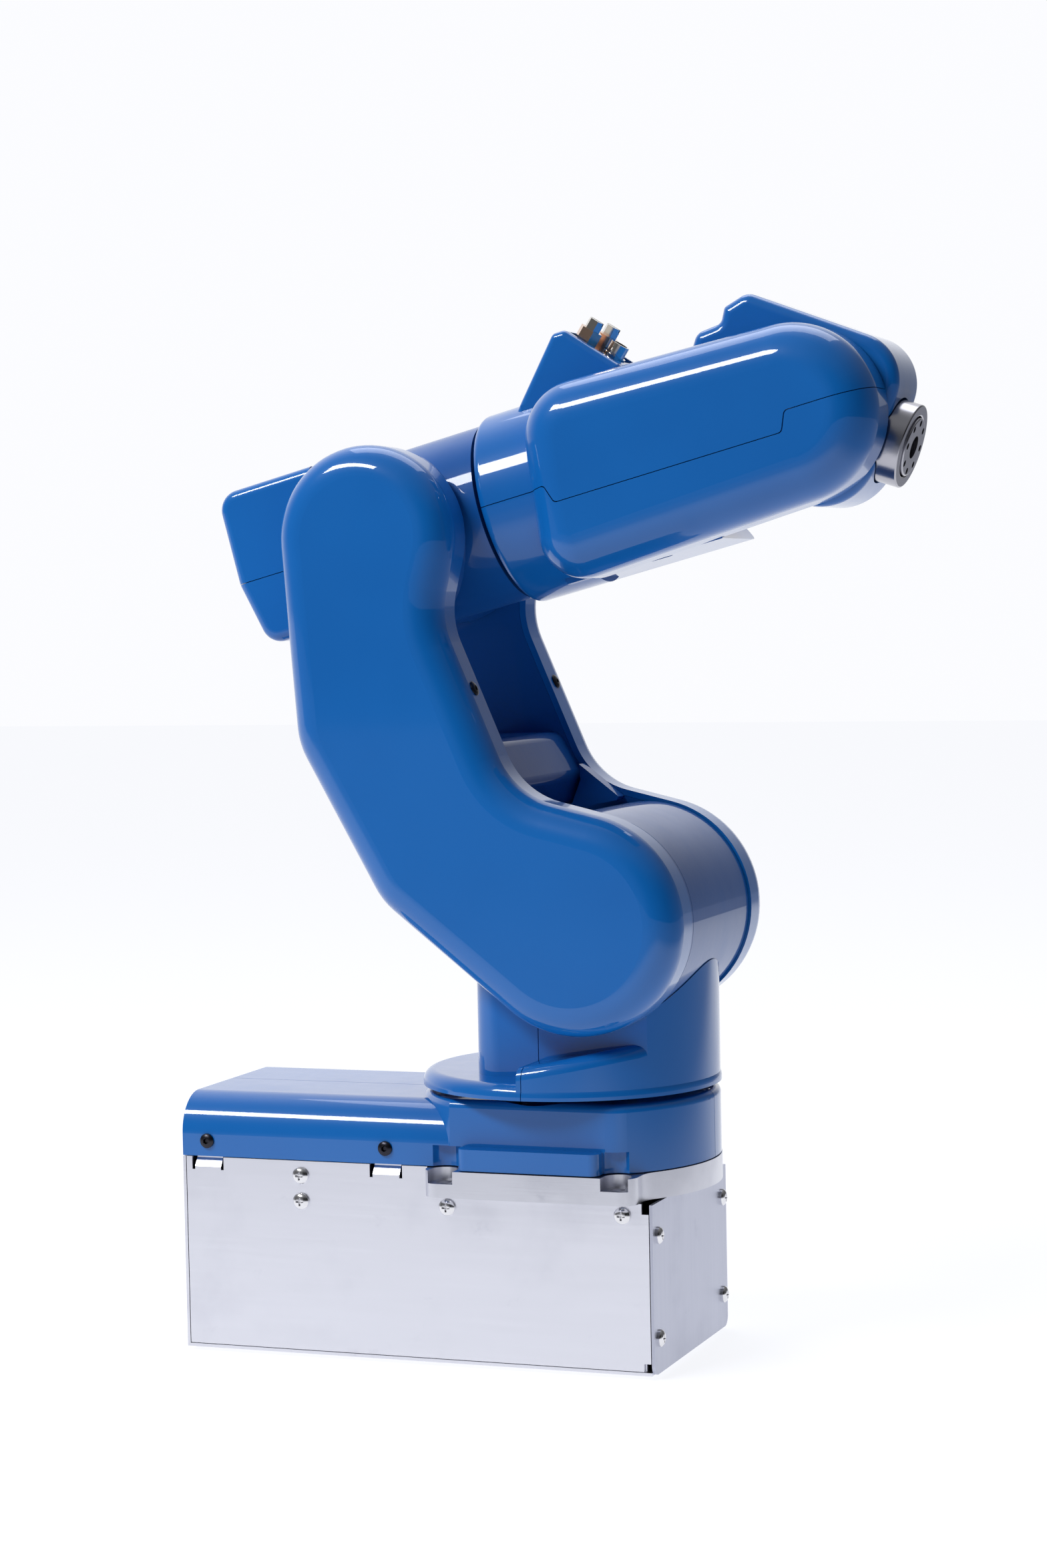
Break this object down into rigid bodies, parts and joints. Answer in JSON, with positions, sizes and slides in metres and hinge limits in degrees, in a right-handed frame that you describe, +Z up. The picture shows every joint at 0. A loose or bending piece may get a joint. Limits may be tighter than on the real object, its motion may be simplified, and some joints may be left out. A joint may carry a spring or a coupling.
{
  "type": "compact industrial robot arm",
  "caption": "Small blue articulated arm on a flat metal base box, with leaning twin-sided lower arm, offset forearm, fitting box and a bolted tool face.",
  "frame": {"origin": "where the swivel axis meets the mounting face under the base flange", "axes": "+Z up along the swivel axis, +X toward the front of the arm, -Y toward the viewer's side of the picture"},
  "size_m": [0.2957, 0.12, 0.4003],
  "materials": {
    "blue_cover": "gloss",
    "blue_casting": "gloss paint",
    "flange_metal": "machined",
    "sheet_metal": "satin",
    "turned_metal": "turned",
    "frame_metal": "cast",
    "motor_body": "satin",
    "reducer_steel": "ground",
    "pulley_metal": "machined",
    "belt_rubber": "matte",
    "screw_steel": "bright",
    "screw_black": "black oxide",
    "brass": "satin",
    "plug_plastic": "satin",
    "connector_plastic": "matte"
  },
  "bodies": {
    "base": {"base_flange": "flange_metal", "side_panel_near": "sheet_metal", "side_panel_far": "sheet_metal", "front_plate": "sheet_metal", "rear_plate": "sheet_metal", "bottom_tray": "sheet_metal", "box_screws": "screw_steel", "foot_screws": "screw_steel", "cover_screws": "screw_black", "base_cover_near": "blue_cover", "base_cover_far": "blue_cover", "s_motor": "motor_body", "s_reducer": "reducer_steel", "power_connector": "connector_plastic", "air_inlets": "brass", "signal_inlet": "connector_plastic"},
    "turret": {"turret_frame": "blue_casting", "barrel_cap": "turned_metal", "turret_front_cover": "blue_cover", "turret_rear_cover": "blue_cover", "l_motor": "motor_body", "l_reducer": "reducer_steel", "l_bearing": "reducer_steel"},
    "lower_arm": {"arm_shell_near": "blue_cover", "arm_shell_far": "blue_cover", "arm_plate_near": "frame_metal", "arm_plate_far": "frame_metal", "arm_bridge": "blue_casting", "arm_screws": "screw_black", "u_motor": "motor_body", "u_reducer": "reducer_steel", "u_pulleys": "pulley_metal", "u_belt": "belt_rubber"},
    "elbow": {"elbow_housing": "blue_casting", "u_bearing": "reducer_steel", "r_reducer": "reducer_steel", "r_motor": "motor_body", "motor_cover_upper": "blue_cover", "motor_cover_lower": "blue_cover"},
    "forearm": {"forearm_cover_upper": "blue_cover", "forearm_cover_lower": "blue_cover", "forearm_frame": "frame_metal", "b_motor": "motor_body", "b_pulleys": "pulley_metal", "b_belt": "belt_rubber", "b_reducer": "reducer_steel", "fitting_box": "blue_cover", "fitting_plate": "turned_metal", "air_nuts": "brass", "air_plugs": "plug_plastic", "signal_socket": "connector_plastic"},
    "wrist": {"wrist_frame": "frame_metal", "wrist_upper": "blue_cover", "wrist_lower": "blue_cover", "wrist_screws": "screw_black", "t_motor": "motor_body", "t_reducer": "reducer_steel", "tool_ring": "turned_metal"},
    "tool_flange": {"tool_hub": "turned_metal"}
  },
  "joints": [
    {"name": "s_swivel", "type": "hinge", "parent": "base", "child": "turret", "pos_m": [0, 0, 0.038], "axis": [0, 0, 1], "range_deg": [-170, 170]},
    {"name": "l_lean", "type": "hinge", "parent": "turret", "child": "lower_arm", "pos_m": [0.02, 0, 0.103], "axis": [0, 1, 0], "range_deg": [-54, 119]},
    {"name": "u_lift", "type": "hinge", "parent": "lower_arm", "child": "elbow", "pos_m": [-0.05999, 0, 0.24731], "axis": [0, -1, 0], "range_deg": [-35.5, 104.5]},
    {"name": "r_roll", "type": "hinge", "parent": "elbow", "child": "forearm", "pos_m": [-0.05999, 0, 0.24731], "axis": [0.9681, 0, 0.2504], "range_deg": [-140, 140]},
    {"name": "b_pitch", "type": "hinge", "parent": "forearm", "child": "wrist", "pos_m": [0.09975, 0, 0.28863], "axis": [0, 1, 0], "range_deg": [-62.5, 177.5]},
    {"name": "t_twist", "type": "hinge", "parent": "wrist", "child": "tool_flange", "pos_m": [0.09975, 0, 0.28863], "axis": [0.9511, 0, -0.309], "range_deg": [-360, 360]}
  ]
}
